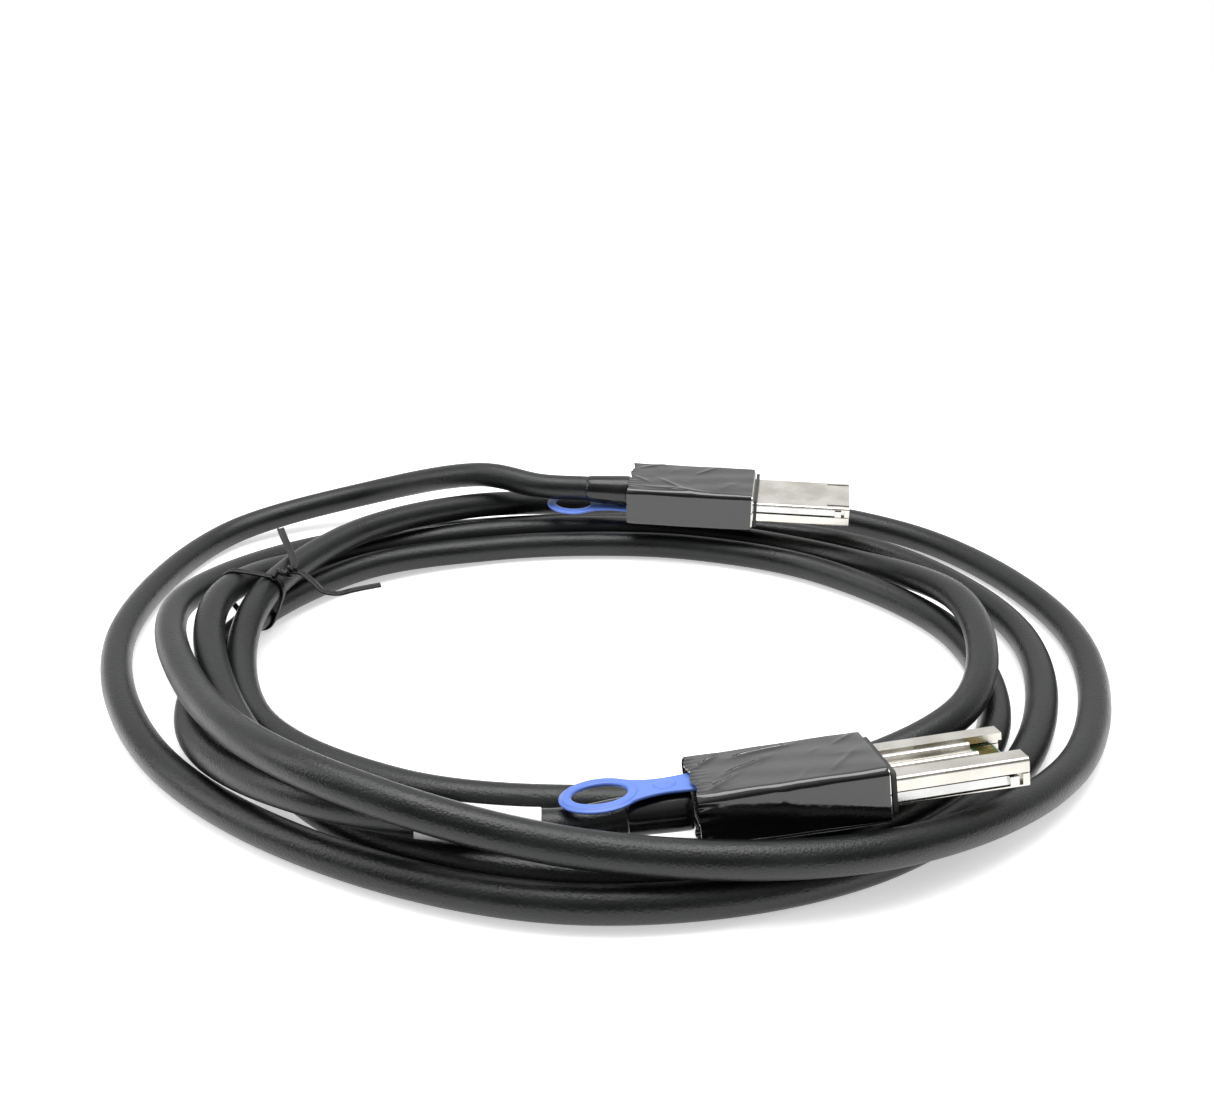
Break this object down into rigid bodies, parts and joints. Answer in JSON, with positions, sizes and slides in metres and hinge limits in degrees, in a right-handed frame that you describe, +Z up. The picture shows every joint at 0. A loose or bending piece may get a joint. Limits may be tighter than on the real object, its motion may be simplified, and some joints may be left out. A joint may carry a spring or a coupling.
{
  "type": "mini SAS cable",
  "caption": "Thick black round cable in loose coils, with a latched die-cast plug, a film wrap and a blue pull tab at each end.",
  "frame": {"origin": "on the floor, under the middle of the cable's bounding box", "axes": "+Z up, +X along the coil's longer side towards the plugs' noses, -Y towards the viewer"},
  "size_m": [0.2788, 0.2282, 0.0281],
  "materials": {
    "jacket": "satin black cable jacket",
    "film": "glossy black shrink film",
    "nickel": "satin nickel plating on die-cast zinc",
    "spring": "spring steel",
    "gasket": "conductive rubber",
    "card": "circuit board with gold pads",
    "tab": "periwinkle blue moulded tab",
    "boot": "moulded black boot",
    "crimp": "crimp ring",
    "wire": "wire insulation",
    "label": "white printed film, print left off",
    "tie": "black plastic coated wire tie"
  },
  "bodies": {
    "root": {"front_film_wrap": "film", "front_upper_housing": "nickel", "front_lower_housing": "nickel", "front_emi_gasket": "gasket", "front_paddle_card": "card", "front_strain_relief": "boot", "front_crimp_ferrule": "crimp", "front_wire_pairs": "wire", "front_screw_left": "spring", "front_screw_right": "spring", "back_film_wrap": "film", "back_upper_housing": "nickel", "back_lower_housing": "nickel", "back_emi_gasket": "gasket", "back_paddle_card": "card", "back_strain_relief": "boot", "back_crimp_ferrule": "crimp", "back_wire_pairs": "wire", "back_screw_left": "spring", "back_screw_right": "spring", "cable_turn_1": "jacket", "cable_turn_2": "jacket", "cable_turn_3": "jacket", "cable_turn_4": "jacket", "cable_turn_5": "jacket", "cable_label": "label", "twist_tie": "tie"},
    "front_release": {"front_pull_tab": "tab", "front_latch_frame": "spring"},
    "back_release": {"back_pull_tab": "tab", "back_latch_frame": "spring"}
  },
  "joints": [
    {"name": "front_release_slide", "type": "slide", "parent": "root", "child": "front_release", "axis": [-0.9874, -0.1335, -0.0854], "range_m": [0, 0.002], "stiffness_N_per_m": 300},
    {"name": "back_release_slide", "type": "slide", "parent": "root", "child": "back_release", "axis": [-0.9877, 0.1564, 0], "range_m": [0, 0.002], "stiffness_N_per_m": 300}
  ]
}
